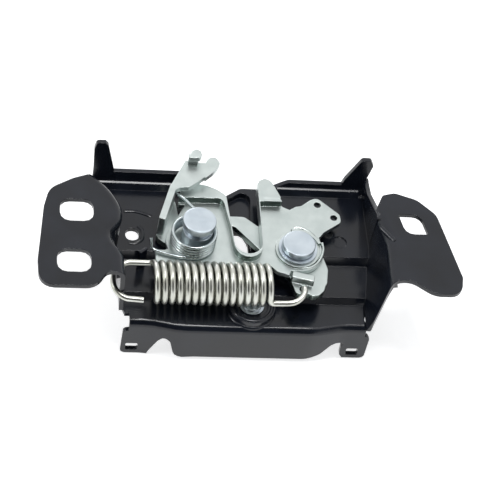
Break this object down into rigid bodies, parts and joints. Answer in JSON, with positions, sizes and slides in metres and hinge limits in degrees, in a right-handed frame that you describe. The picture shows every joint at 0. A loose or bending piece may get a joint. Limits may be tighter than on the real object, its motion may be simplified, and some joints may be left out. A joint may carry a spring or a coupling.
{
  "type": "bonnet latch",
  "caption": "Stamped bonnet latch: a black base with side ears, a slotted plated cover, a riveted catch and release pawl, a long extension spring and a coil return spring.",
  "frame": {"origin": "clamping face of the left ear, midway between its two bolt slots", "axes": "+X from the left ear to the right ear, +Y the way the striker slot opens, +Z out of the clamping faces and up from the pan floor, along both pivots"},
  "size_m": [0.1777, 0.0768, 0.054],
  "materials": {
    "black_ecoat": "satin",
    "zinc_plate": "satin",
    "spring_wire": "satin"
  },
  "bodies": {
    "base": {"base_plate": "black_ecoat", "cover_plate": "zinc_plate", "catch_rivet": "zinc_plate", "pawl_rivet": "zinc_plate", "catch_bush": "zinc_plate", "pawl_bush": "zinc_plate", "catch_washer": "zinc_plate", "pawl_washer": "zinc_plate", "catch_head_washer": "zinc_plate", "lower_rivet": "zinc_plate", "extension_spring": "spring_wire", "torsion_spring": "spring_wire"},
    "catch": {"catch": "zinc_plate"},
    "release_pawl": {"release_pawl": "zinc_plate"}
  },
  "joints": [
    {"name": "catch_turn", "type": "hinge", "parent": "base", "child": "catch", "pos_m": [0.0956, 0.0057, -0.017], "axis": [0, 0, 1], "range_deg": [0, 35], "stiffness_Nm_per_rad": 0.2, "springref_deg": -28.65, "deforming": ["extension_spring"]},
    {"name": "pawl_release", "type": "hinge", "parent": "base", "child": "release_pawl", "pos_m": [0.052, 0.009, -0.017], "axis": [0, 0, 1], "range_deg": [0, 15], "stiffness_Nm_per_rad": 0.1, "springref_deg": -22.92, "deforming": ["torsion_spring"]}
  ]
}
